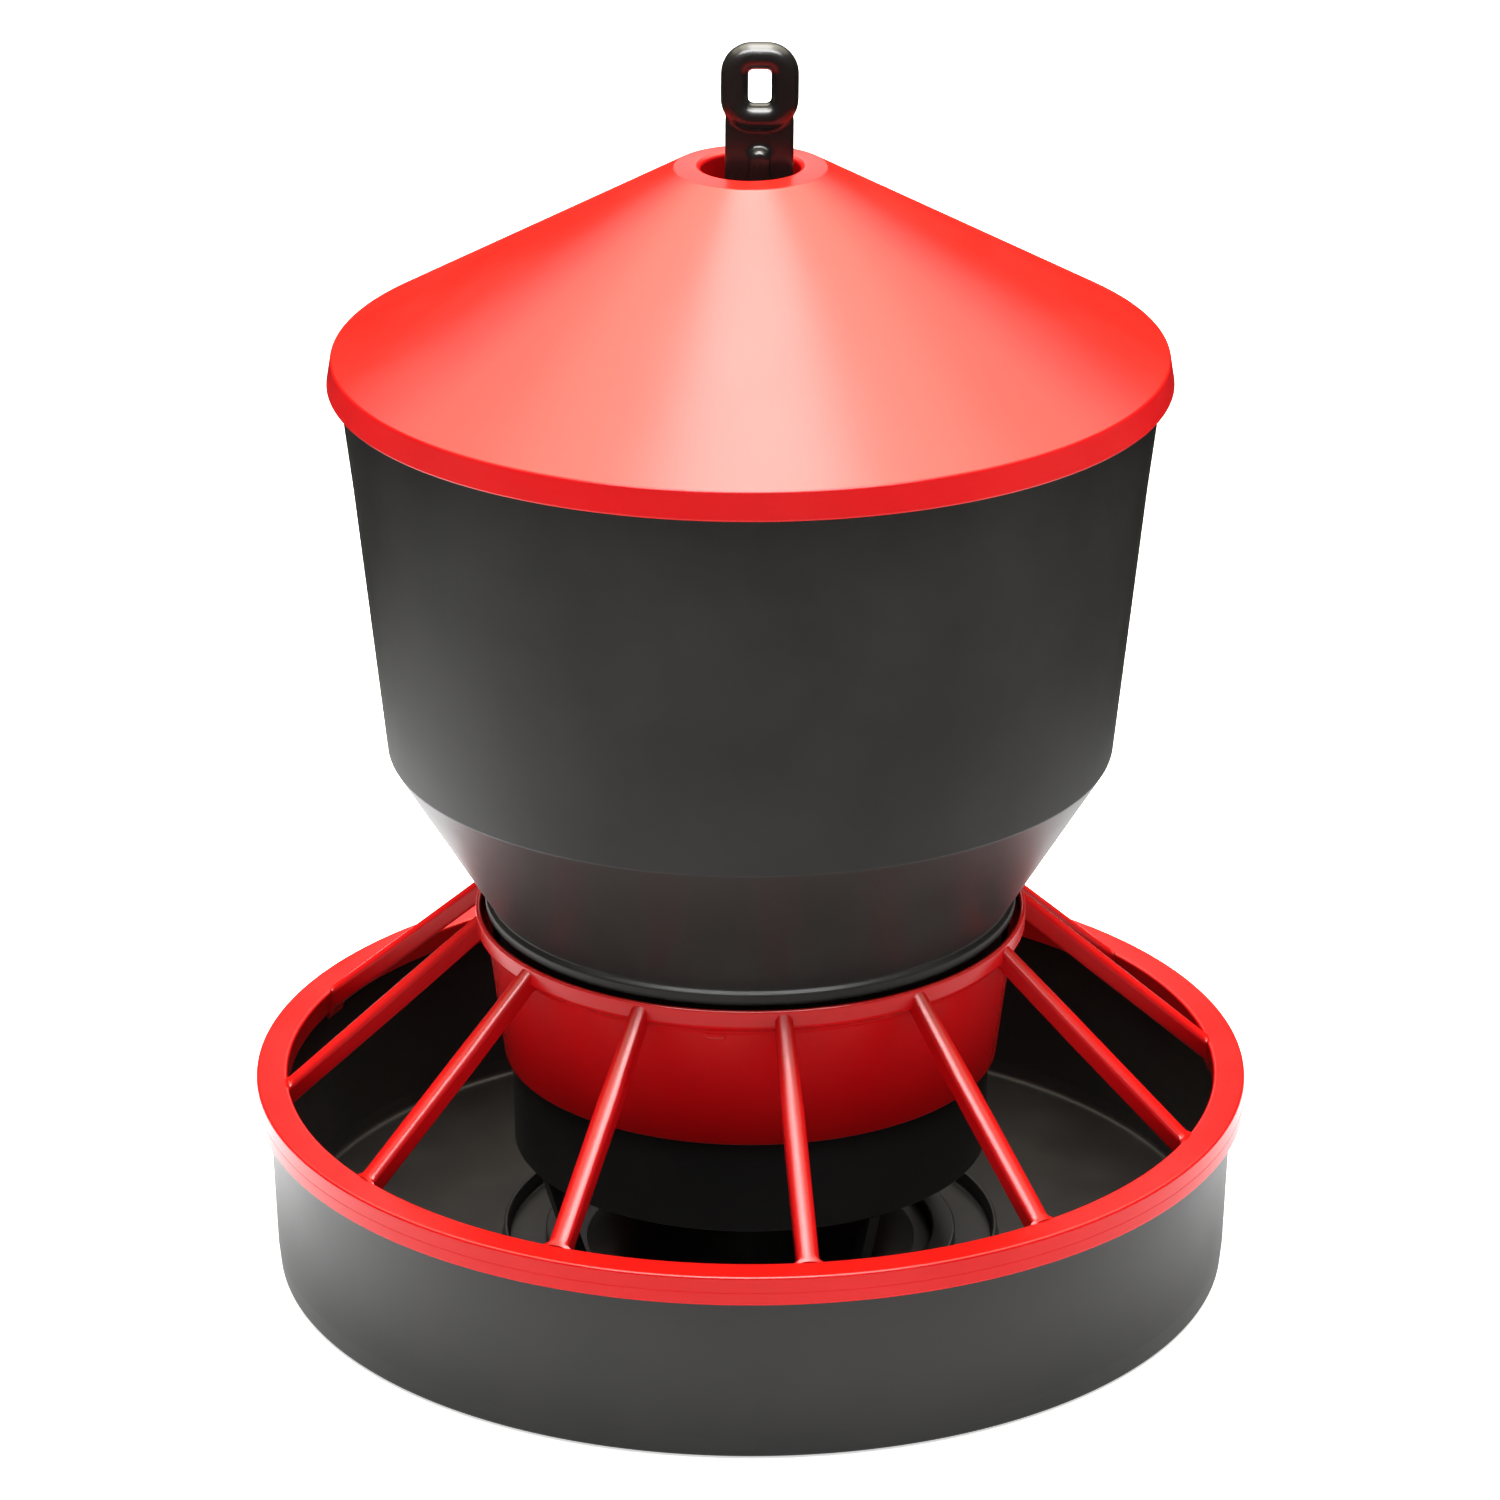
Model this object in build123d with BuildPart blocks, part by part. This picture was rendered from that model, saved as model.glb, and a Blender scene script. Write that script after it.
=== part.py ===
"""Gravity poultry feeder with an anti-waste grill, built as the real mouldings.

Millimetres.  +Z is up, -Y is the front.  The origin is the centre of the pan's underside.
Turned shapes are given as (radius, height, corner rounding) triples round a closed section.
"""
import os
from math import atan2, cos, degrees, hypot, radians, sin

from build123d import *

# ---------------------------------------------------------------- main heights
PAN_RIM_Z = 66.2
RING_BOTTOM_Z = 58.6
RING_TOP_Z = 68.6
COLLAR_BOTTOM_Z = 75.5
COLLAR_TOP_Z = 128.4
NECK_BOTTOM_Z = 42.0
NECK_TOP_Z = 134.0
FOOT_RING_BOTTOM_Z = 2.35
FOOT_RING_TOP_Z = 6.3
CREASE_Z = 189.4
HOPPER_RIM_Z = 324.4
LID_BOTTOM_Z = 315.9
LID_CREASE_Z = 325.5
LID_TOP_Z = 389.6

# ---------------------------------------------------------------- main radii
PAN_FLOOR_R = 163.2
RING_R = 170.0
RING_INNER_R = 159.3
COLLAR_LIP_R = 93.8
CONE_BASE_R = 57.0
RIDGE_R = 85.0
RIDGE_WIDTH = 1.6
RIDGE_TOP_Z = 7.8
FOOT_RING_R = 71.2
BEAD_R = 90.4
CREASE_R = 123.0
HOPPER_RIM_R = 135.5
LID_CREASE_R = 138.9
LID_R = 140.5
LID_TOP_R = 25.4
LID_HOLE_R = 16.4
LID_HOLE_DEPTH = 12.0

WALL = 2.0

# ---------------------------------------------------------------- grill bars and hopper legs
BAR_COUNT = 12
BAR_START_ANGLE = 6.8
BAR_DEPTH = 6.8
BAR_INNER_WIDTH = 5.6
BAR_OUTER_WIDTH = 7.4
LEG_COUNT = 4
LEG_START_ANGLE = 31.0
LEG_WIDTH = 4.0

# ---------------------------------------------------------------- centre cone and hanger
CONE_TOP_R = 17.0
CONE_TOP_Z = 34.0
CONE_PLATE = 2.2
SLOT_WIDTH = 8.0
SLOT_LENGTH = 26.4
HANGER_PIVOT_Z = 26.5
HANGER_LEAN = 0.45
STRAP_WIDTH = 22.5
STRAP_THICKNESS = 4.0
FOOT_WIDTH = 24.0
FOOT_HEIGHT = 5.0
SHANK_WIDTH = 5.6
SHOULDER_Z = 34.45
RIB_WIDTH = 7.2
RIB_HEIGHT = 3.0
RIB_ROUNDING = 2.4
RIB_BOTTOM_Z = 60.0
RIB_TOP_Z = 396.0
EYE_WIDTH = 25.6
EYE_BOTTOM_Z = 401.4
EYE_TOP_Z = 431.0
EYE_BAR = 9.1
EYE_THICKNESS = 8.8
EYE_CORNER_R = 6.0


def turned(section):
    """Solid turned about Z from a closed section; a third value rounds that corner."""
    with BuildPart() as solid:
        with BuildSketch(Plane.XZ) as face:
            with BuildLine():
                Polyline(*[(radius, height) for radius, height, _ in section], close=True)
            make_face()
            for radius, height, rounding in section:
                if rounding:
                    corner = face.vertices().sort_by_distance((radius, height, 0))[0]
                    fillet(corner, rounding)
        revolve(axis=Axis.Z)
    return solid.part


# ---------------------------------------------------------------- pan floor, from the cone to the wall
with BuildPart() as pan_floor:
    add(turned([
        (CONE_BASE_R, 0, 0),
        (PAN_FLOOR_R - 1.9, 0, 0),
        (PAN_FLOOR_R - 1.9, WALL, 0),
        (CONE_BASE_R, WALL, 0),
    ]))
pan_floor.part.label = "pan_floor"

# ---------------------------------------------------------------- pan ridge: low ring round the outlet
with BuildPart() as pan_ridge:
    add(turned([
        (RIDGE_R - RIDGE_WIDTH / 2, WALL, 0),
        (RIDGE_R + RIDGE_WIDTH / 2, WALL, 0),
        (RIDGE_R + RIDGE_WIDTH / 2, RIDGE_TOP_Z, 0.6),
        (RIDGE_R - RIDGE_WIDTH / 2, RIDGE_TOP_Z, 0.6),
    ]))
pan_ridge.part.label = "pan_ridge"

# ---------------------------------------------------------------- pan wall with its rim
with BuildPart() as pan_wall:
    add(turned([
        (PAN_FLOOR_R - 1.9, 0, 0),
        (PAN_FLOOR_R, 0, 1.0),
        (PAN_FLOOR_R + 0.8, 8, 0),
        (PAN_FLOOR_R + 2.8, 63.6, 0),
        (PAN_FLOOR_R + 4.4, 63.6, 0.5),
        (PAN_FLOOR_R + 4.4, PAN_RIM_Z, 0.8),
        (PAN_FLOOR_R + 0.9, PAN_RIM_Z, 0.6),
        (PAN_FLOOR_R - 1.2, 8, 0),
        (PAN_FLOOR_R - 1.9, WALL, 0),
    ]))
pan_wall.part.label = "pan_wall"

# ---------------------------------------------------------------- pan cone: spreads feed, holds hanger
cone_slope = (CONE_TOP_Z - WALL) / (CONE_BASE_R - CONE_TOP_R)
cone_shell = 3.6
with BuildPart() as pan_cone:
    add(turned([
        (CONE_BASE_R, 0, 0),
        (CONE_BASE_R, WALL, 0),
        (CONE_TOP_R, CONE_TOP_Z, 1.5),
        (0, CONE_TOP_Z, 0),
        (0, CONE_TOP_Z - CONE_PLATE, 0),
        (CONE_TOP_R + CONE_PLATE / cone_slope - cone_shell, CONE_TOP_Z - CONE_PLATE, 0),
        (CONE_BASE_R + WALL / cone_slope - cone_shell, 0, 0),
    ]))
    with BuildSketch(Plane.XY.offset(CONE_TOP_Z - 2 * CONE_PLATE)):
        RectangleRounded(SLOT_WIDTH, SLOT_LENGTH, 1.5)
    extrude(amount=3 * CONE_PLATE, mode=Mode.SUBTRACT)
pan_cone.part.label = "pan_cone"

# ---------------------------------------------------------------- grill ring: cap over the pan's rim
with BuildPart() as ring_block:
    add(turned([
        (RING_R + 0.4, RING_BOTTOM_Z, 0.5),
        (RING_R, RING_TOP_Z, 1.4),
        (RING_INNER_R, RING_TOP_Z, 0.9),
        (RING_INNER_R, RING_BOTTOM_Z + 2, 0.4),
        (RING_INNER_R + 1.8, RING_BOTTOM_Z + 2, 0),
        (RING_INNER_R + 1.8, RING_BOTTOM_Z, 0),
    ]))
with BuildPart() as grill_ring:
    add(ring_block.part)
    add(turned([
        (RING_INNER_R + 1.8, RING_BOTTOM_Z - 1, 0),
        (RING_R - 1.6, RING_BOTTOM_Z - 1, 0),
        (RING_R - 1.8, RING_TOP_Z - WALL, 0.6),
        (RING_INNER_R + 1.8, RING_TOP_Z - WALL, 0.6),
    ]), mode=Mode.SUBTRACT)
grill_ring.part.label = "grill_ring"

# ---------------------------------------------------------------- grill collar: guides the hopper's neck
collar_outside = [
    (84.5, COLLAR_BOTTOM_Z, 0.5),
    (90.0, 119.5, 3.0),
    (COLLAR_LIP_R, 122.0, 2.0),
    (COLLAR_LIP_R, COLLAR_TOP_Z, 0.8),
]
with BuildPart() as grill_collar:
    add(turned(collar_outside + [
        (COLLAR_LIP_R - 1.8, COLLAR_TOP_Z, 0.8),
        (COLLAR_LIP_R - 1.8, 123.2, 2.0),
        (88.0, 120.6, 3.0),
        (82.6, COLLAR_BOTTOM_Z, 0.5),
    ]))
grill_collar.part.label = "grill_collar"

# ---------------------------------------------------------------- grill bars: collar lip to ring
with BuildPart() as collar_block:
    add(turned(collar_outside + [(0, COLLAR_TOP_Z, 0), (0, COLLAR_BOTTOM_Z, 0)]))

bar_inner = Vector(COLLAR_LIP_R - 5.0, 0, 131.6)
bar_outer = Vector(RING_INNER_R + 2.1, 0, 68.1)
bar_run = bar_outer - bar_inner
bar_shape = [(0.0, BAR_INNER_WIDTH), (0.4, BAR_OUTER_WIDTH), (1.0, BAR_OUTER_WIDTH)]
with BuildPart() as bar_blank:
    for share, width in bar_shape:
        section_plane = Plane(origin=bar_inner + bar_run * share, x_dir=(0, 1, 0), z_dir=bar_run)
        with BuildSketch(section_plane) as bar_section:
            Rectangle(width, BAR_DEPTH, align=(Align.CENTER, Align.MAX))
            fillet(bar_section.vertices().group_by(Axis.Y)[-1], width / 2 - 0.2)
            fillet(bar_section.vertices().group_by(Axis.Y)[0], 0.8)
    loft(ruled=True)
with BuildPart() as grill_bars:
    with PolarLocations(0, BAR_COUNT, start_angle=BAR_START_ANGLE):
        add(bar_blank.part)
    add(collar_block.part, mode=Mode.SUBTRACT)
    add(ring_block.part, mode=Mode.SUBTRACT)
    with BuildSketch(Plane.XY.offset(COLLAR_TOP_Z - 0.6)):
        Circle(COLLAR_LIP_R + 6)
    extrude(amount=10, mode=Mode.SUBTRACT)
grill_bars.part.label = "grill_bars"

# ---------------------------------------------------------------- hopper neck: throat with the bead on top
FUNNEL_FOOT_R = BEAD_R - 1.2
with BuildPart() as hopper_neck:
    add(turned([
        (81.5, NECK_BOTTOM_Z, 0.6),
        (82.0, COLLAR_BOTTOM_Z, 0),
        (86.7, 127.0, 0.8),
        (BEAD_R, 129.0, 1.8),
        (BEAD_R, 132.6, 1.4),
        (FUNNEL_FOOT_R, NECK_TOP_Z, 0),
        (FUNNEL_FOOT_R - 2.35, NECK_TOP_Z, 0),
        (84.7, 128.0, 0),
        (80.0, COLLAR_BOTTOM_Z, 0),
        (79.5, NECK_BOTTOM_Z, 0.6),
    ]))
hopper_neck.part.label = "hopper_neck"

# ---------------------------------------------------------------- hopper funnel: sloping lower wall
with BuildPart() as hopper_funnel:
    add(turned([
        (FUNNEL_FOOT_R, NECK_TOP_Z, 0),
        (CREASE_R - 0.5, CREASE_Z - 0.9, 2.0),
        (CREASE_R + 0.06, CREASE_Z + 3, 0),
        (CREASE_R - 1.98, CREASE_Z + 3, 0),
        (CREASE_R - 2.3, CREASE_Z, 2.0),
        (FUNNEL_FOOT_R - 2.35, NECK_TOP_Z, 0),
    ]))
hopper_funnel.part.label = "hopper_funnel"

# ---------------------------------------------------------------- hopper bin: tall upper wall
with BuildPart() as hopper_bin:
    add(turned([
        (CREASE_R + 0.06, CREASE_Z + 3, 0),
        (HOPPER_RIM_R - 3.2, 283.0, 0),
        (HOPPER_RIM_R - 0.8, 303.0, 0),
        (HOPPER_RIM_R, HOPPER_RIM_Z, 0.8),
        (HOPPER_RIM_R - 2.0, HOPPER_RIM_Z, 0.8),
        (HOPPER_RIM_R - 2.8, 303.0, 0),
        (HOPPER_RIM_R - 5.2, 283.0, 0),
        (CREASE_R - 1.98, CREASE_Z + 3, 0),
    ]))
hopper_bin.part.label = "hopper_bin"

# ---------------------------------------------------------------- hopper foot ring: joins the legs' feet
with BuildPart() as hopper_foot_ring:
    add(turned([
        (FOOT_RING_R - 8.0, FOOT_RING_BOTTOM_Z, 0.5),
        (FOOT_RING_R, FOOT_RING_BOTTOM_Z, 0.5),
        (FOOT_RING_R, FOOT_RING_TOP_Z, 0.8),
        (FOOT_RING_R - 8.0, FOOT_RING_TOP_Z, 0.8),
    ]))
hopper_foot_ring.part.label = "hopper_foot_ring"

# ---------------------------------------------------------------- hopper legs: foot ring up to the neck
with BuildPart() as leg_blank:
    with BuildSketch(Plane.XZ):
        with BuildLine():
            Polyline(
                (FOOT_RING_R - 6.6, FOOT_RING_TOP_Z),
                (FOOT_RING_R - 1.0, FOOT_RING_TOP_Z),
                (81.4, NECK_BOTTOM_Z),
                (76.4, NECK_BOTTOM_Z),
                close=True,
            )
        make_face()
    extrude(amount=LEG_WIDTH / 2, both=True)
with BuildPart() as hopper_legs:
    with PolarLocations(0, LEG_COUNT, start_angle=LEG_START_ANGLE):
        add(leg_blank.part)
hopper_legs.part.label = "hopper_legs"

# ---------------------------------------------------------------- lid: cone with a rim band and a hole
with BuildPart() as lid:
    add(turned([
        (LID_HOLE_R, LID_TOP_Z - LID_HOLE_DEPTH, 0.8),
        (LID_HOLE_R, LID_TOP_Z, 1.8),
        (LID_TOP_R, LID_TOP_Z - 0.8, 1.5),
        (LID_CREASE_R, LID_CREASE_Z, 1.6),
        (LID_R, LID_BOTTOM_Z, 0.7),
        (LID_R - WALL, LID_BOTTOM_Z, 0.7),
        (LID_CREASE_R - 1.9, LID_CREASE_Z - 1.2, 0.3),
        (LID_TOP_R - 0.5, LID_TOP_Z - WALL - 0.8, 0.5),
        (LID_HOLE_R + WALL, LID_TOP_Z - WALL - 0.2, 0.5),
        (LID_HOLE_R + WALL, LID_TOP_Z - LID_HOLE_DEPTH, 0.8),
    ]))
lid.part.label = "lid"

# ---------------------------------------------------------------- hanger: foot, strap, ribs and eye
hanger_plane = Plane(
    origin=(0, 0, HANGER_PIVOT_Z),
    x_dir=(cos(radians(HANGER_LEAN)), 0, -sin(radians(HANGER_LEAN))),
    z_dir=(0, -1, 0),
)


def along(height):
    """Distance along the hanger from its pivot."""
    return height - HANGER_PIVOT_Z


with BuildPart() as hanger:
    # flat outline: T-shaped foot, narrow shank and the strap
    with BuildSketch(hanger_plane):
        RectangleRounded(FOOT_WIDTH, FOOT_HEIGHT, 1.5)
        with Locations((0, along(CONE_TOP_Z - 1))):
            Rectangle(SHANK_WIDTH, 14)
        with Locations((0, (along(SHOULDER_Z) + along(EYE_BOTTOM_Z + 4)) / 2)):
            Rectangle(STRAP_WIDTH, EYE_BOTTOM_Z + 4 - SHOULDER_Z)
    extrude(amount=STRAP_THICKNESS / 2, both=True)
    strap_edges = hanger.edges().filter_by(Axis((0, 0, 0), hanger_plane.y_dir))
    fillet(strap_edges.group_by(SortBy.LENGTH)[-1], 0.8)
    # stiffening rib on both faces, round at its top end
    with BuildSketch(hanger_plane):
        with Locations((0, (along(RIB_BOTTOM_Z) + along(RIB_TOP_Z)) / 2)):
            SlotOverall(RIB_TOP_Z - RIB_BOTTOM_Z, RIB_WIDTH, rotation=90)
    extrude(amount=STRAP_THICKNESS / 2 + RIB_HEIGHT, both=True)
    fillet(hanger.faces().filter_by(Axis.Y).group_by(Axis.Y)[0].edges(), RIB_ROUNDING)
    fillet(hanger.faces().filter_by(Axis.Y).group_by(Axis.Y)[-1].edges(), RIB_ROUNDING)
eye_half_width = (EYE_WIDTH - EYE_BAR) / 2
eye_low = along(EYE_BOTTOM_Z) + EYE_BAR / 2
eye_high = along(EYE_TOP_Z) - EYE_BAR / 2
with BuildPart() as eye:
    with BuildLine(hanger_plane) as eye_path:
        FilletPolyline(
            (eye_half_width, eye_low),
            (eye_half_width, eye_high),
            (-eye_half_width, eye_high),
            (-eye_half_width, eye_low),
            radius=EYE_CORNER_R,
            close=True,
        )
    with BuildSketch(Plane(origin=eye_path.line @ 0, x_dir=(0, 1, 0), z_dir=eye_path.line % 0)):
        Ellipse(EYE_THICKNESS / 2, EYE_BAR / 2)
    sweep()
with BuildPart() as hanger_whole:
    add(hanger.part)
    add(eye.part)
hanger_whole.part.label = "hanger"

# ---------------------------------------------------------------- export
os.makedirs("parts", exist_ok=True)
for piece in (
    pan_floor,
    pan_ridge,
    pan_wall,
    pan_cone,
    grill_ring,
    grill_collar,
    grill_bars,
    hopper_neck,
    hopper_funnel,
    hopper_bin,
    hopper_foot_ring,
    hopper_legs,
    lid,
    hanger_whole,
):
    export_step(piece.part, f"parts/{piece.part.label}.step")
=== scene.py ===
"""Looks of the gravity poultry feeder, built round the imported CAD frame.

Sections of turned pieces are closed loops of (radius, height, corner rounding) in millimetres.
Their driving sizes come from the frame's own boxes, and the mesh helpers turn them into metres.
"""
import math

import bmesh
import bpy
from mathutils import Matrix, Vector


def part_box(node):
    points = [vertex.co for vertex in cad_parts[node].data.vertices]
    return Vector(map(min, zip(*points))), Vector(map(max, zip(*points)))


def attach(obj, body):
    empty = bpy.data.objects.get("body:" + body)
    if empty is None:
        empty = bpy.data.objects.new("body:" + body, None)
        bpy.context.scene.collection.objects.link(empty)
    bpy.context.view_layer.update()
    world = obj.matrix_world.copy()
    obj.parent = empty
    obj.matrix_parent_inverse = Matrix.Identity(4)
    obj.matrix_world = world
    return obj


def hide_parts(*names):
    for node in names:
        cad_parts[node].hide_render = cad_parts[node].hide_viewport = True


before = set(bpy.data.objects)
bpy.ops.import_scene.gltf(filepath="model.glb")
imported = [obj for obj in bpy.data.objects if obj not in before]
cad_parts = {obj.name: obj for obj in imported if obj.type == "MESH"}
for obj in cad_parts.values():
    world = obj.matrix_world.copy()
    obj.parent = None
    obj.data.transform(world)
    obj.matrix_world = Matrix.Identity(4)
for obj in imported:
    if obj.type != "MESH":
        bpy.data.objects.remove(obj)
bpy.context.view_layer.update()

MM = 0.001
TURN_STEPS = 288
ARC_STEPS = 7
LID_EDGE_LOSS = 0.15  # height that the rounding takes off the corner at the lid's hole


# ---------------------------------------------------------------- driving sizes, in mm
def top(node):
    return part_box(node)[1].z / MM


def bottom(node):
    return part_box(node)[0].z / MM


def outer_radius(node):
    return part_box(node)[1].x / MM


PAN_R = outer_radius("pan_wall")
PAN_RIM = top("pan_wall")
PAN_FLOOR_TOP = top("pan_floor")
CONE_R = outer_radius("pan_cone")
RIDGE_R = outer_radius("pan_ridge")
RIDGE_TOP = top("pan_ridge")
RING_R = outer_radius("grill_ring")
RING_TOP = top("grill_ring")
RING_BOTTOM = bottom("grill_ring")
COLLAR_R = outer_radius("grill_collar")
COLLAR_TOP = top("grill_collar")
COLLAR_BOTTOM = bottom("grill_collar")
BEAD_R = outer_radius("hopper_neck")
FUNNEL_R = BEAD_R - 1.2
NECK_TOP = top("hopper_neck")
NECK_BOTTOM = bottom("hopper_neck")
CREASE_R = outer_radius("hopper_funnel") - 0.06
CREASE = top("hopper_funnel") - 3
BIN_R = outer_radius("hopper_bin")
BIN_TOP = top("hopper_bin")
LID_R = outer_radius("lid")
LID_TOP = top("lid") + LID_EDGE_LOSS
LID_BOTTOM = bottom("lid")


# ---------------------------------------------------------------- mesh helpers
def rounded(corners):
    """Points round a closed section, with each corner turned into an arc of its own radius."""
    points = []
    for index, (x, y, rounding) in enumerate(corners):
        here = Vector((x, y))
        if not rounding:
            points.append(here)
            continue
        to_before = (Vector(corners[index - 1][:2]) - here).normalized()
        to_after = (Vector(corners[(index + 1) % len(corners)][:2]) - here).normalized()
        half = to_before.angle(to_after) / 2
        reach = rounding / math.tan(half)
        centre = here + (to_before + to_after).normalized() * rounding / math.sin(half)
        first = here + to_before * reach - centre
        last = here + to_after * reach - centre
        for step in range(ARC_STEPS + 1):
            points.append(centre + first.slerp(last, step / ARC_STEPS).normalized() * rounding)
    return points


def piece_from(name, vertices, faces, sharp_angle=35.0):
    """Object from vertices in mm, shaded smooth across every edge flatter than sharp_angle."""
    mesh = bpy.data.meshes.new(name)
    mesh.from_pydata([Vector(v) * MM for v in vertices], [], faces)
    shape = bmesh.new()
    shape.from_mesh(mesh)
    bmesh.ops.recalc_face_normals(shape, faces=shape.faces)
    shape.to_mesh(mesh)
    shape.free()
    mesh.shade_smooth()
    mesh.set_sharp_from_angle(angle=math.radians(sharp_angle))
    piece = bpy.data.objects.new(name, mesh)
    bpy.context.scene.collection.objects.link(piece)
    normals = piece.modifiers.new("even_normals", "WEIGHTED_NORMAL")
    normals.keep_sharp = True
    return piece


def turned(name, corners):
    """Closed ring turned about Z from a closed section that stays off the axis."""
    section = rounded(corners)
    vertices = []
    for point in section:
        for step in range(TURN_STEPS):
            angle = 2 * math.pi * step / TURN_STEPS
            vertices.append((point.x * math.cos(angle), point.x * math.sin(angle), point.y))
    faces = []
    for low in range(len(section)):
        high = (low + 1) % len(section)
        for step in range(TURN_STEPS):
            after = (step + 1) % TURN_STEPS
            faces.append((
                low * TURN_STEPS + step,
                low * TURN_STEPS + after,
                high * TURN_STEPS + after,
                high * TURN_STEPS + step,
            ))
    return piece_from(name, vertices, faces)


def skinned(outlines):
    """Vertices and faces of a closed tube through equal-length outlines, capped at both ends."""
    count = len(outlines[0])
    vertices = [point for outline in outlines for point in outline]
    faces = []
    for low in range(len(outlines) - 1):
        for step in range(count):
            after = (step + 1) % count
            faces.append((
                low * count + step,
                low * count + after,
                (low + 1) * count + after,
                (low + 1) * count + step,
            ))
    faces.append(tuple(range(count)))
    faces.append(tuple(range(len(vertices) - count, len(vertices))))
    return vertices, faces


# ---------------------------------------------------------------- pan: one black moulding
PAN_WALL = PAN_R - 4.4
pan_shell = turned("pan_shell", [
    (CONE_R, 0, 0),
    (RIDGE_R - 6, 0, 0.5),
    (RIDGE_R - 5, 0.5, 0.5),
    (RIDGE_R + 5, 0.5, 0.5),
    (RIDGE_R + 6, 0, 0.5),
    (PAN_WALL, 0, 1.3),
    (PAN_WALL + 0.8, 8, 6.0),
    (PAN_WALL + 2.8, PAN_RIM - 2.6, 0.5),
    (PAN_R, PAN_RIM - 2.6, 0.5),
    (PAN_R, PAN_RIM, 0.8),
    (PAN_WALL + 0.9, PAN_RIM, 0.6),
    (PAN_WALL - 1.2, 8, 6.0),
    (PAN_WALL - 2.1, PAN_FLOOR_TOP, 2.5),
    (RIDGE_R + 0.2, PAN_FLOOR_TOP, 0.8),
    (RIDGE_R - 0.1, RIDGE_TOP, 0.6),
    (RIDGE_R - 1.5, RIDGE_TOP, 0.6),
    (RIDGE_R - 1.8, PAN_FLOOR_TOP, 0.8),
    (CONE_R, PAN_FLOOR_TOP, 0),
])
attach(pan_shell, "pan")
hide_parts("pan_floor", "pan_ridge", "pan_wall")

# ---------------------------------------------------------------- grill ring with its parting line
RING_OUTER = RING_R - 0.4
RING_INNER = RING_OUTER - 10.7
ring_shell = turned("grill_ring_shell", [
    (RING_R, RING_BOTTOM, 0.7),
    (RING_R - 0.18, RING_BOTTOM + 4.3, 0.15),
    (RING_R - 0.24, RING_BOTTOM + 4.5, 0.15),
    (RING_OUTER, RING_TOP, 1.0),
    (RING_INNER, RING_TOP, 1.0),
    (RING_INNER, RING_BOTTOM + 2, 0.5),
    (RING_INNER + 1.8, RING_BOTTOM + 2, 0.3),
    (RING_INNER + 1.8, RING_TOP - 2, 0.6),
    (RING_OUTER - 1.8, RING_TOP - 2, 0.6),
    (RING_OUTER - 1.6, RING_BOTTOM, 0.5),
])
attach(ring_shell, "grill")
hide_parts("grill_ring")

# ---------------------------------------------------------------- grill collar with its lip band
collar_shell = turned("grill_collar_shell", [
    (COLLAR_R - 9.3, COLLAR_BOTTOM, 0.7),
    (COLLAR_R - 3.8, COLLAR_TOP - 8.9, 3.0),
    (COLLAR_R, COLLAR_TOP - 6.4, 1.8),
    (COLLAR_R, COLLAR_TOP, 0.85),
    (COLLAR_R - 1.8, COLLAR_TOP, 0.85),
    (COLLAR_R - 1.8, COLLAR_TOP - 5.2, 2.0),
    (COLLAR_R - 5.8, COLLAR_TOP - 7.8, 3.0),
    (COLLAR_R - 11.2, COLLAR_BOTTOM, 0.7),
])
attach(collar_shell, "grill")
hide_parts("grill_collar")

# ---------------------------------------------------------------- blank oval mark moulded on the collar
MARK_ANGLE = math.radians(-97.5)
MARK_HEIGHT = COLLAR_TOP - 11.2
COLLAR_TAPER = 5.5 / (COLLAR_TOP - 8.9 - COLLAR_BOTTOM)
MARK_HALF = (3.7, 1.5)
MARK_STEPS = 48
# (share of the way out from the centre, height above the collar's face)
MARK_PROFILE = [(0.25, 0.06), (0.6, 0.06), (0.72, 0.12), (0.8, 0.26), (0.88, 0.26), (0.96, 0.1), (1.0, -0.3)]


def collar_point(across, up, proud):
    """Point on the collar's tapered face, from its distance round it and height."""
    radius = COLLAR_R - 3.8 - (COLLAR_TOP - 8.9 - MARK_HEIGHT - up) * COLLAR_TAPER
    angle = MARK_ANGLE + across / radius
    return ((radius + proud) * math.cos(angle), (radius + proud) * math.sin(angle), MARK_HEIGHT + up)


mark_rings = []
for share, proud in MARK_PROFILE:
    ring = []
    for step in range(MARK_STEPS):
        turn = 2 * math.pi * step / MARK_STEPS
        ring.append(collar_point(
            MARK_HALF[0] * share * math.cos(turn), MARK_HALF[1] * share * math.sin(turn), proud
        ))
    mark_rings.append(ring)
collar_mark = piece_from("collar_mark", *skinned(mark_rings), sharp_angle=80.0)
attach(collar_mark, "grill")

# ---------------------------------------------------------------- grill bars, filleted into the ring
BAR_COUNT = 12
BAR_START = math.radians(6.8)
BAR_DEPTH = 6.8
BAR_WIDTHS = (5.6, 7.4)
BAR_FULL_WIDTH_AT = 0.4
BAR_TOP_LINE = (Vector((COLLAR_R - 5.0, COLLAR_TOP + 3.2)), Vector((RING_INNER + 2.1, RING_TOP - 0.5)))
BAR_FILLET = 1.7
BAR_CROWN = 2.3
BAR_CROWN_STEPS = 20
BAR_FILLET_STEPS = 7
BAR_CORNER = 0.8
BAR_SPACING = 2 * math.pi / BAR_COUNT


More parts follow.
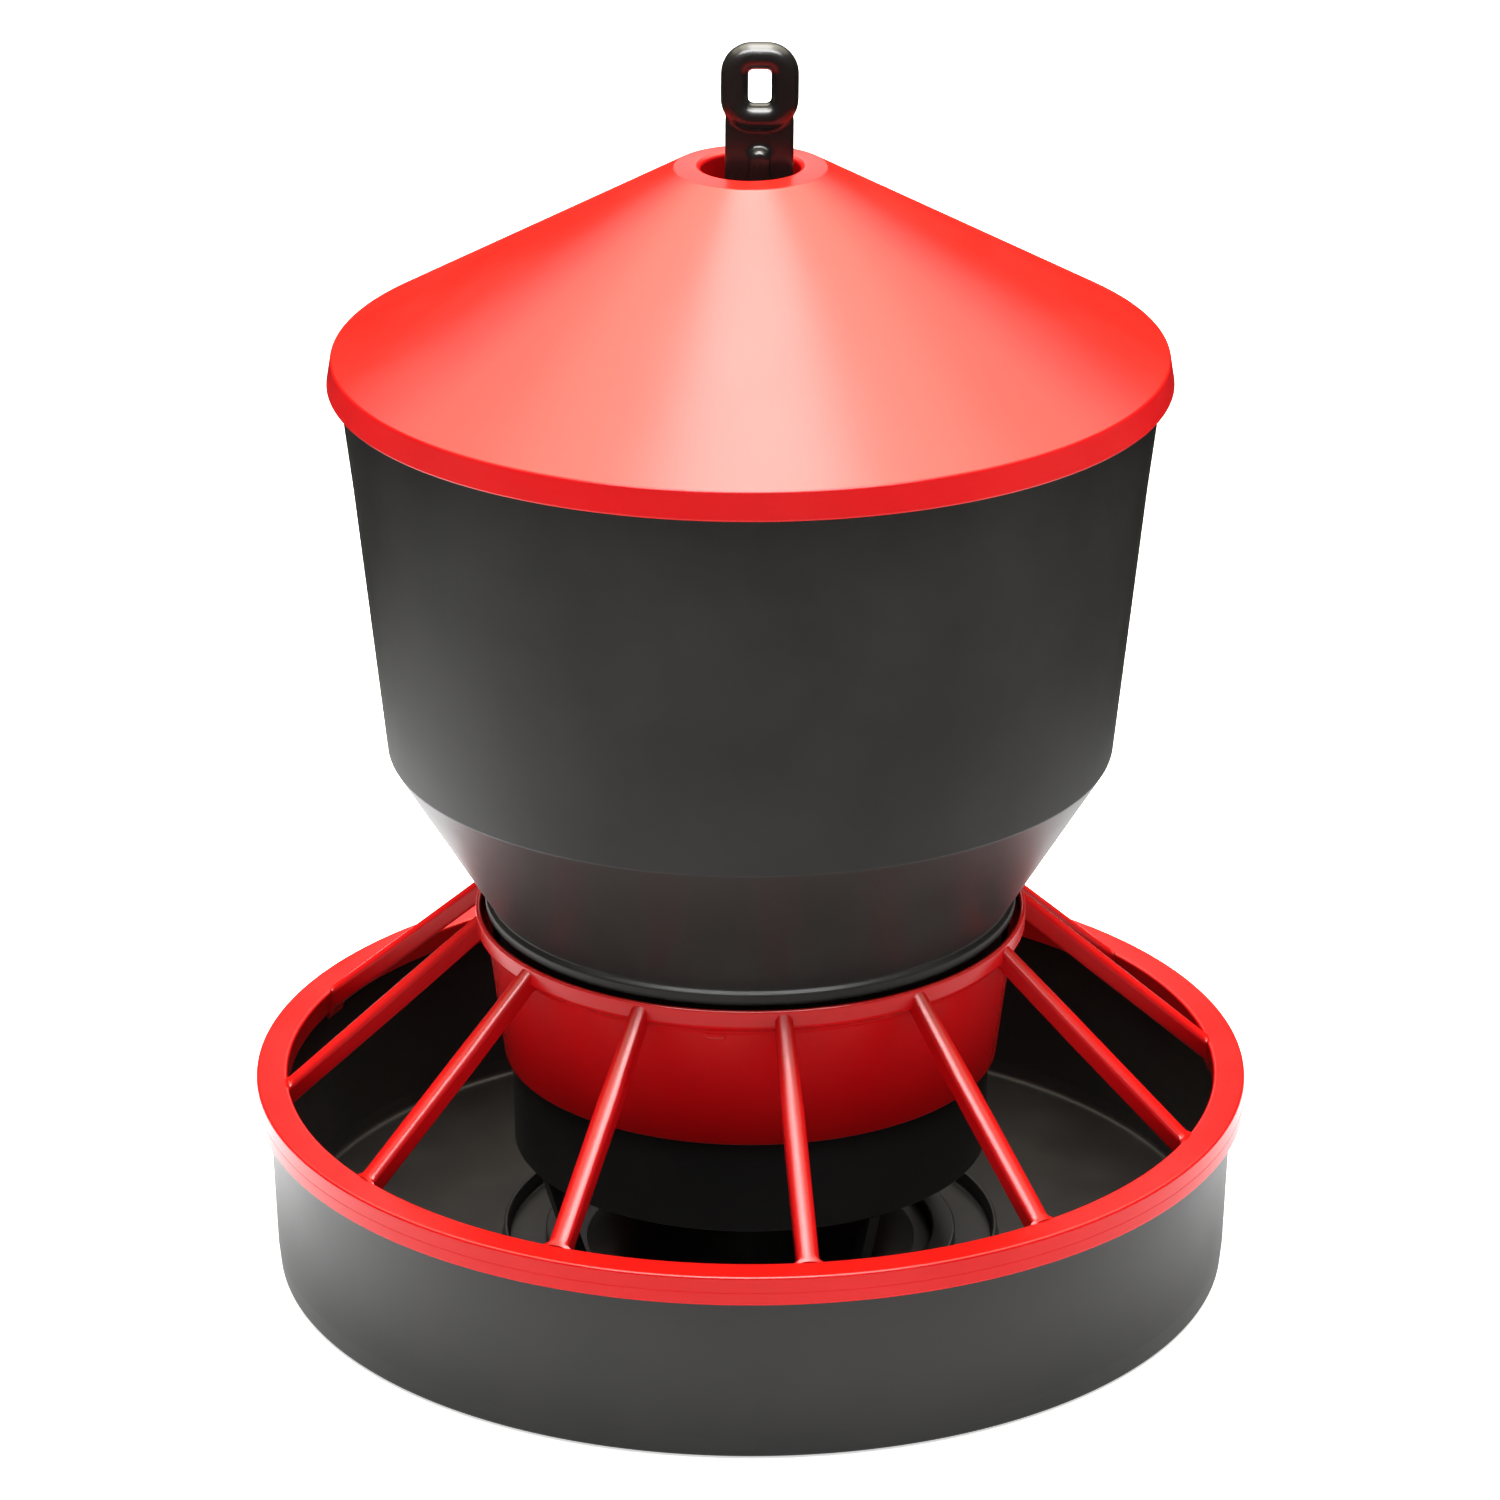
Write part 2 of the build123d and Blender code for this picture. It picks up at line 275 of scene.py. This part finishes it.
def bar_outline(radius, widen, ceiling):
    """Outline of a bar where it crosses one radius: crowned on top, small corners below."""
    start, end = BAR_TOP_LINE
    share = (radius - start.x) / (end.x - start.x)
    height = start.y + (end.y - start.y) * share
    grown = min(share / BAR_FULL_WIDTH_AT, 1.0)
    half = (BAR_WIDTHS[0] + (BAR_WIDTHS[1] - BAR_WIDTHS[0]) * grown) / 2 + widen
    upright = (end - start).length / (end.x - start.x)
    depth = BAR_DEPTH + widen
    crown = []
    for step in range(BAR_CROWN_STEPS + 1):
        turn = math.pi * (1 - step / BAR_CROWN_STEPS)
        crown.append((half * math.cos(turn), BAR_CROWN * (math.sin(turn) - 1), 0))
    section = rounded(crown + [(half, -depth, BAR_CORNER), (-half, -depth, BAR_CORNER)])
    return [(radius, point.x, min(height + point.y * upright, ceiling)) for point in section]


def bar_stations():
    """Radius, widening and top limit of each outline: sunk in the collar's lip, filleted at the ring."""
    lip_limit = COLLAR_TOP - 0.5
    stations = [
        (COLLAR_R - 3.4, 0.0, COLLAR_TOP - 8.0),
        (COLLAR_R - 1.3, 0.0, COLLAR_TOP - 6.2),
        (COLLAR_R - 1.1, 0.0, lip_limit),
    ]
    knee = BAR_TOP_LINE[0].x + (BAR_TOP_LINE[1].x - BAR_TOP_LINE[0].x) * BAR_FULL_WIDTH_AT
    stations += [(radius, 0.0, lip_limit) for radius in (COLLAR_R + 0.5, knee - 6, knee, knee + 6)]
    for step in reversed(range(1, BAR_FILLET_STEPS + 1)):
        away = BAR_FILLET * (1 - math.cos(math.pi / 2 * step / BAR_FILLET_STEPS))
        widen = BAR_FILLET - math.sqrt(BAR_FILLET ** 2 - (BAR_FILLET - away) ** 2)
        stations.append((RING_INNER - away, widen, lip_limit))
    stations += [(RING_INNER - 0.02, BAR_FILLET, lip_limit), (RING_INNER + 0.9, BAR_FILLET, lip_limit)]
    return stations


bar_vertices = []
bar_faces = []
for bar in range(BAR_COUNT):
    angle = BAR_START + BAR_SPACING * bar
    vertices, faces = skinned([bar_outline(*station) for station in bar_stations()])
    offset = len(bar_vertices)
    for x, y, z in vertices:
        bar_vertices.append((
            x * math.cos(angle) - y * math.sin(angle),
            x * math.sin(angle) + y * math.cos(angle),
            z,
        ))
    bar_faces += [tuple(index + offset for index in face) for face in faces]
bars = piece_from("grill_bars_shell", bar_vertices, bar_faces)
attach(bars, "grill")
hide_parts("grill_bars")

# ---------------------------------------------------------------- hopper: neck, bead, funnel and bin
hopper_shell = turned("hopper_shell", [
    (BEAD_R - 8.9, NECK_BOTTOM, 0.8),
    (BEAD_R - 8.4, COLLAR_BOTTOM, 0),
    (BEAD_R - 3.7, NECK_TOP - 7, 0.8),
    (BEAD_R, NECK_TOP - 5, 1.8),
    (BEAD_R, NECK_TOP - 1.4, 1.4),
    (FUNNEL_R, NECK_TOP, 0.6),
    (CREASE_R - 0.5, CREASE - 0.9, 2.0),
    (BIN_R - 3.2, CREASE + 93.6, 0),
    (BIN_R - 0.8, CREASE + 113.6, 0),
    (BIN_R, BIN_TOP, 0.9),
    (BIN_R - 2.0, BIN_TOP, 0.9),
    (BIN_R - 2.8, CREASE + 113.6, 0),
    (BIN_R - 5.2, CREASE + 93.6, 0),
    (CREASE_R - 2.3, CREASE, 2.0),
    (FUNNEL_R - 2.35, NECK_TOP, 2.0),
    (FUNNEL_R - 4.0, NECK_TOP - 6, 0),
    (BEAD_R - 10.4, COLLAR_BOTTOM, 0),
    (BEAD_R - 10.9, NECK_BOTTOM, 0.8),
])
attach(hopper_shell, "hopper")
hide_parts("hopper_neck", "hopper_funnel", "hopper_bin")

# ---------------------------------------------------------------- lid: cone, rim band and hole
LID_HOLE_R = 16.4
LID_HOLE_DEPTH = 12.0
LID_TOP_R = LID_HOLE_R + 9.0
LID_CREASE_R = LID_R - 1.6
LID_CREASE = LID_BOTTOM + 9.6
lid_shell = turned("lid_shell", [
    (LID_HOLE_R, LID_TOP - LID_HOLE_DEPTH, 0.8),
    (LID_HOLE_R, LID_TOP, 1.8),
    (LID_TOP_R, LID_TOP - 0.8, 1.4),
    (LID_CREASE_R, LID_CREASE, 1.6),
    (LID_R, LID_BOTTOM, 0.8),
    (LID_R - 2.0, LID_BOTTOM, 0.8),
    (LID_CREASE_R - 1.9, LID_CREASE - 1.2, 0.4),
    (LID_TOP_R - 0.5, LID_TOP - 2.8, 0.6),
    (LID_HOLE_R + 2, LID_TOP - 2.2, 0.6),
    (LID_HOLE_R + 2, LID_TOP - LID_HOLE_DEPTH, 0.8),
])
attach(lid_shell, "lid")
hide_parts("lid")

# ---------------------------------------------------------------- hanger with its corners melted together
HANGER_VOXEL = 0.6
HANGER_SMOOTHING = 5


def softened(name, node, voxel, rounds):
    """Copy of a CAD node whose sharp joins and edges are blended, as in a thick moulding."""
    draft = bpy.data.objects.new(name + "_draft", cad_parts[node].data.copy())
    bpy.context.scene.collection.objects.link(draft)
    remesh = draft.modifiers.new("even_mesh", "REMESH")
    remesh.mode = "VOXEL"
    remesh.voxel_size = voxel * MM
    remesh.use_smooth_shade = True
    smooth = draft.modifiers.new("blend", "SMOOTH")
    smooth.iterations = rounds
    evaluated = draft.evaluated_get(bpy.context.evaluated_depsgraph_get())
    mesh = bpy.data.meshes.new_from_object(evaluated)
    mesh.name = name
    bpy.data.objects.remove(draft)
    piece = bpy.data.objects.new(name, mesh)
    bpy.context.scene.collection.objects.link(piece)
    return piece


hanger_shell = softened("hanger_shell", "hanger", HANGER_VOXEL, HANGER_SMOOTHING)
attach(hanger_shell, "hanger")
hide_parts("hanger")


# ---------------------------------------------------------------- materials
def add_node(tree, kind, inputs=None, **settings):
    """A shader node; an input given as another node's output socket is linked."""
    made = tree.nodes.new(kind)
    for key, value in settings.items():
        setattr(made, key, value)
    for key, value in (inputs or {}).items():
        if isinstance(value, bpy.types.NodeSocket):
            tree.links.new(value, made.inputs[key])
        else:
            made.inputs[key].default_value = value
    return made


def noise(tree, vector, scale, detail=3.0, roughness=0.55):
    made = add_node(tree, "ShaderNodeTexNoise", {
        "Vector": vector,
        "Scale": scale,
        "Detail": detail,
        "Roughness": roughness,
    })
    return made.outputs["Fac"]


def remap(tree, value, low, high, to_low=0.0, to_high=1.0):
    made = add_node(tree, "ShaderNodeMapRange", {
        "Value": value,
        "From Min": low,
        "From Max": high,
        "To Min": to_low,
        "To Max": to_high,
    }, interpolation_type="SMOOTHSTEP")
    return made.outputs["Result"]


def times(tree, first, second):
    made = add_node(tree, "ShaderNodeMath", {0: first, 1: second}, operation="MULTIPLY")
    return made.outputs[0]


def blend_colour(tree, share, first, second):
    made = tree.nodes.new("ShaderNodeMix")
    made.data_type = "RGBA"
    for socket, value in ((made.inputs[0], share), (made.inputs[6], first), (made.inputs[7], second)):
        if isinstance(value, bpy.types.NodeSocket):
            tree.links.new(value, socket)
        else:
            socket.default_value = value
    return made.outputs[2]


def bump(tree, height, distance, below=None):
    inputs = {"Height": height, "Distance": distance, "Strength": 1.0}
    if below is not None:
        inputs["Normal"] = below
    return add_node(tree, "ShaderNodeBump", inputs).outputs["Normal"]


# noise scales per metre, and bump heights in metres
PIGMENT_SCALE = 16
MOTTLE_SCALE = 34
PEEL_SCALE = 260
TURNING_SCALE = 900
GRAIN_SCALE = 1100
TURNING_DEPTH = 0.000004
GRAIN_DEPTH = 0.000002


def plastic(name, colour, cloud, painted_top_light_shade, dust, roughness, specular, dustiness=0.3, peel=0.00002):
    """Moulded plastic: uneven pigment, painted light and shade on faces turned up, dust, turning marks and
    orange peel.
    """
    material = bpy.data.materials.new(name)
    material.use_nodes = True
    tree = material.node_tree
    tree.nodes.clear()
    place = add_node(tree, "ShaderNodeTexCoord").outputs["Object"]
    geometry = add_node(tree, "ShaderNodeNewGeometry")
    facing = add_node(tree, "ShaderNodeSeparateXYZ", {0: geometry.outputs["Normal"]}).outputs["Z"]

    # coordinates that only change with radius and height, for the mould's turning marks
    flat = add_node(tree, "ShaderNodeVectorMath", {0: place, 1: (1, 1, 0)}, operation="MULTIPLY")
    radius = add_node(tree, "ShaderNodeVectorMath", {0: flat.outputs[0]}, operation="LENGTH")
    height = add_node(tree, "ShaderNodeSeparateXYZ", {0: place}).outputs["Z"]
    rings = add_node(tree, "ShaderNodeCombineXYZ", {"X": radius.outputs["Value"], "Y": height})

    pigment = noise(tree, place, PIGMENT_SCALE, 4)
    mottle = noise(tree, place, MOTTLE_SCALE, 2, 0.5)
    turning = noise(tree, rings.outputs[0], TURNING_SCALE, 2)
    grain = noise(tree, place, GRAIN_SCALE, 1)
    orange_peel = noise(tree, place, PEEL_SCALE, 2)

    body = blend_colour(tree, remap(tree, pigment, 0.3, 0.7), colour, cloud)
    # painted light and shade: faces turned up are blended towards a lighter colour on the reds and the
    # hanger and a darker one on the pan and hopper, for how the overhead light falls on them
    painted_top_mask = remap(tree, facing, 0.35, 0.95)
    body = blend_colour(tree, painted_top_mask, body, painted_top_light_shade)
    settled = times(tree, remap(tree, facing, -0.2, 0.9, 0.25, 1.0), remap(tree, mottle, 0.3, 0.8))
    body = blend_colour(tree, times(tree, settled, dustiness), body, dust)

    rough = remap(tree, mottle, 0.25, 0.8, roughness - 0.015, roughness + 0.02)

    normal = bump(tree, orange_peel, peel)
    normal = bump(tree, turning, TURNING_DEPTH, normal)
    normal = bump(tree, grain, GRAIN_DEPTH, normal)

    shader = add_node(tree, "ShaderNodeBsdfPrincipled", {
        "Base Color": body,
        "Roughness": rough,
        "Normal": normal,
        "Specular IOR Level": specular,
        "IOR": 1.49,
    })
    output = add_node(tree, "ShaderNodeOutputMaterial")
    tree.links.new(shader.outputs["BSDF"], output.inputs["Surface"])
    return material


# each material's colour for faces turned up is painted light on the reds and the hanger (lighter than the
# body) and painted shade on the black pan and charcoal hopper (darker than the body)
black = plastic(
    "black_pan_plastic",
    colour=(0.017, 0.017, 0.0175, 1),
    cloud=(0.020, 0.0195, 0.0195, 1),
    painted_top_light_shade=(0.006, 0.0045, 0.005, 1),
    dust=(0.16, 0.15, 0.14, 1),
    roughness=0.40,
    specular=0.45,
    dustiness=0.03,
)
charcoal = plastic(
    "charcoal_hopper_plastic",
    colour=(0.013, 0.0128, 0.013, 1),
    cloud=(0.017, 0.0167, 0.017, 1),
    painted_top_light_shade=(0.010, 0.0095, 0.0095, 1),
    dust=(0.16, 0.15, 0.14, 1),
    roughness=0.42,
    specular=0.42,
    dustiness=0.05,
)
red = plastic(
    "red_grill_plastic",
    colour=(0.44, 0.001, 0.003, 1),
    cloud=(0.48, 0.002, 0.004, 1),
    painted_top_light_shade=(0.58, 0.007, 0.005, 1),
    dust=(0.60, 0.14, 0.10, 1),
    roughness=0.25,
    specular=0.32,
    dustiness=0.01,
)
red_lid = plastic(
    "red_lid_plastic",
    colour=(0.44, 0.001, 0.003, 1),
    cloud=(0.48, 0.002, 0.004, 1),
    painted_top_light_shade=(0.66, 0.009, 0.005, 1),
    dust=(0.66, 0.18, 0.12, 1),
    roughness=0.29,
    specular=0.32,
    dustiness=0.01,
)
hanger_black = plastic(
    "black_hanger_plastic",
    colour=(0.007, 0.0065, 0.0065, 1),
    cloud=(0.010, 0.009, 0.009, 1),
    painted_top_light_shade=(0.010, 0.009, 0.009, 1),
    dust=(0.16, 0.15, 0.14, 1),
    roughness=0.27,
    specular=0.5,
    dustiness=0.03,
    peel=0.000005,
)


def paint(piece, material):
    piece.data.materials.clear()
    piece.data.materials.append(material)


for piece, material in (
    (pan_shell, black),
    (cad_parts["pan_cone"], black),
    (ring_shell, red),
    (collar_shell, red),
    (collar_mark, red),
    (bars, red),
    (hopper_shell, charcoal),
    (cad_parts["hopper_foot_ring"], charcoal),
    (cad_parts["hopper_legs"], charcoal),
    (lid_shell, red_lid),
    (hanger_shell, hanger_black),
):
    paint(piece, material)

# ---------------------------------------------------------------- floor
FLOOR_HALF = 12.0
FLOOR_HEIGHT = -0.0005
FLOOR_GLOW = 0.60
floor_mesh = bpy.data.meshes.new("floor")
floor_mesh.from_pydata(
    [(-FLOOR_HALF, -FLOOR_HALF, 0), (FLOOR_HALF, -FLOOR_HALF, 0), (FLOOR_HALF, FLOOR_HALF, 0),
     (-FLOOR_HALF, FLOOR_HALF, 0)],
    [],
    [(0, 1, 2, 3)],
)
floor = bpy.data.objects.new("floor", floor_mesh)
bpy.context.scene.collection.objects.link(floor)
floor.location.z = FLOOR_HEIGHT
floor.visible_glossy = False
pale = bpy.data.materials.new("pale_floor")
pale.use_nodes = True
pale_shader = pale.node_tree.nodes["Principled BSDF"]
pale_shader.inputs["Roughness"].default_value = 0.9
pale_shader.inputs["Specular IOR Level"].default_value = 0.1
pale_shader.inputs["Emission Color"].default_value = (1, 1, 1, 1)
pale_shader.inputs["Emission Strength"].default_value = FLOOR_GLOW
pale_place = add_node(pale.node_tree, "ShaderNodeTexCoord").outputs["Object"]
pale_tone = blend_colour(
    pale.node_tree, noise(pale.node_tree, pale_place, 1.5), (0.88, 0.88, 0.88, 1), (0.90, 0.90, 0.90, 1)
)
pale.node_tree.links.new(pale_tone, pale_shader.inputs["Base Color"])
floor_mesh.materials.append(pale)

# ---------------------------------------------------------------- studio light
WORLD_STRENGTH = 0.32
scene = bpy.context.scene
scene.view_settings.view_transform = "Standard"
world = bpy.data.worlds.new("studio")
scene.world = world
world.use_nodes = True
sky = world.node_tree
sky.nodes["Background"].inputs["Color"].default_value = (1, 1, 1, 1)
sky.nodes["Background"].inputs["Strength"].default_value = WORLD_STRENGTH
world.cycles_visibility.glossy = False

# white card round the foot of the object: what its lower walls mirror instead of the floor
CARD_RADIUS = 1.0
CARD_STEPS = 96
CARD_HEIGHT = -0.0004
CARD_NEAR = 0.22
CARD_FAR = 0.62
CARD_GLOW = 2.5
card_mesh = bpy.data.meshes.new("table_card")
card_mesh.from_pydata(
    [(CARD_RADIUS * math.cos(2 * math.pi * step / CARD_STEPS),
      CARD_RADIUS * math.sin(2 * math.pi * step / CARD_STEPS), 0) for step in range(CARD_STEPS)],
    [],
    [tuple(range(CARD_STEPS))],
)
card = bpy.data.objects.new("table_card", card_mesh)
bpy.context.scene.collection.objects.link(card)
card.location.z = CARD_HEIGHT
card.visible_camera = False
card.visible_diffuse = False
card.visible_shadow = False
card_material = bpy.data.materials.new("table_card")
card_material.use_nodes = True
card_tree = card_material.node_tree
card_tree.nodes.clear()
card_place = add_node(card_tree, "ShaderNodeTexCoord").outputs["Object"]
card_distance = add_node(card_tree, "ShaderNodeVectorMath", {0: card_place}, operation="LENGTH")
card_split = add_node(card_tree, "ShaderNodeSeparateXYZ", {0: card_place}).outputs
card_reach = add_node(card_tree, "ShaderNodeMath", {
    0: card_distance.outputs["Value"],
    1: remap(card_tree, card_split["X"], 0.0, 0.4, 0.0, 0.06),
}, operation="ADD")
card_level = remap(card_tree, card_reach.outputs[0], CARD_NEAR, CARD_FAR, CARD_GLOW, 0.0)
card_inner = remap(card_tree, card_distance.outputs["Value"], 0.170, 0.25, 0.3, 1.0)
card_level = times(card_tree, card_level, card_inner)
card_level = times(card_tree, card_level, remap(card_tree, card_split["X"], -0.5, 0.5, 1.2, 0.7))
card_level = times(card_tree, card_level, remap(card_tree, card_split["Y"], -0.32, 0.08, 0.42, 1.5))
card_glow = add_node(card_tree, "ShaderNodeEmission", {"Strength": card_level})
card_output = add_node(card_tree, "ShaderNodeOutputMaterial")
card_tree.links.new(card_glow.outputs[0], card_output.inputs["Surface"])
card_mesh.materials.append(card_material)


def softbox(name, place, aim, width, depth, power, colour=(1, 1, 1)):
    """Rectangular area light at place, turned to face aim, unseen by the camera itself."""
    data = bpy.data.lights.new(name, "AREA")
    data.shape = "RECTANGLE"
    data.size = width
    data.size_y = depth
    data.energy = power
    data.color = colour
    light = bpy.data.objects.new(name, data)
    bpy.context.scene.collection.objects.link(light)
    light.location = place
    light.rotation_euler = (Vector(aim) - Vector(place)).to_track_quat("-Z", "Y").to_euler()
    light.visible_camera = False
    return light


softbox("overhead_core", (0.02, -0.15, 1.75), (0.02, -0.15, 0.0), 0.55, 1.3, 29)
softbox("overhead_broad", (0.0, 0.3, 1.9), (0.0, 0.2, 0.0), 1.7, 1.7, 42, (1.0, 0.96, 0.78))
softbox("overhead_wide", (0.0, 0.5, 2.0), (0.0, 0.3, 0.0), 4.0, 2.2, 98, (1.0, 0.94, 0.74))
softbox("back_panel", (0.0, 2.5, 1.2), (0.0, 0.0, 0.39), 0.4, 0.7, 2)
glint = softbox("bar_glint", (0.0, -1.0, 1.75), (0.0, -0.13, 0.1), 2.0, 0.6, 90)
glint.visible_diffuse = False
softbox("back_wash", (0.0, 1.9, 1.9), (0.0, 0.0, 0.35), 4.0, 0.9, 12)
back_fill = softbox("back_fill", (0.0, 2.2, 2.0), (0.0, 2.2, 0.0), 4.0, 1.6, 60)
back_fill.visible_glossy = False

# ---------------------------------------------------------------- camera
CAMERA_DISTANCE = 2.1472
CAMERA_HEIGHT = 1.0407
CAMERA_TILT = 22.53
CAMERA_SENSOR = 36.0
CAMERA_LENS = 163.99
CAMERA_SHIFT = (-0.0003, 0.0612)
camera_data = bpy.data.cameras.new("camera")
camera_data.sensor_width = CAMERA_SENSOR
camera_data.lens = CAMERA_LENS
camera_data.shift_x, camera_data.shift_y = CAMERA_SHIFT
camera = bpy.data.objects.new("camera", camera_data)
scene.collection.objects.link(camera)
camera.location = (0, -CAMERA_DISTANCE, CAMERA_HEIGHT)
camera.rotation_euler = (math.radians(90 - CAMERA_TILT), 0, 0)
scene.camera = camera
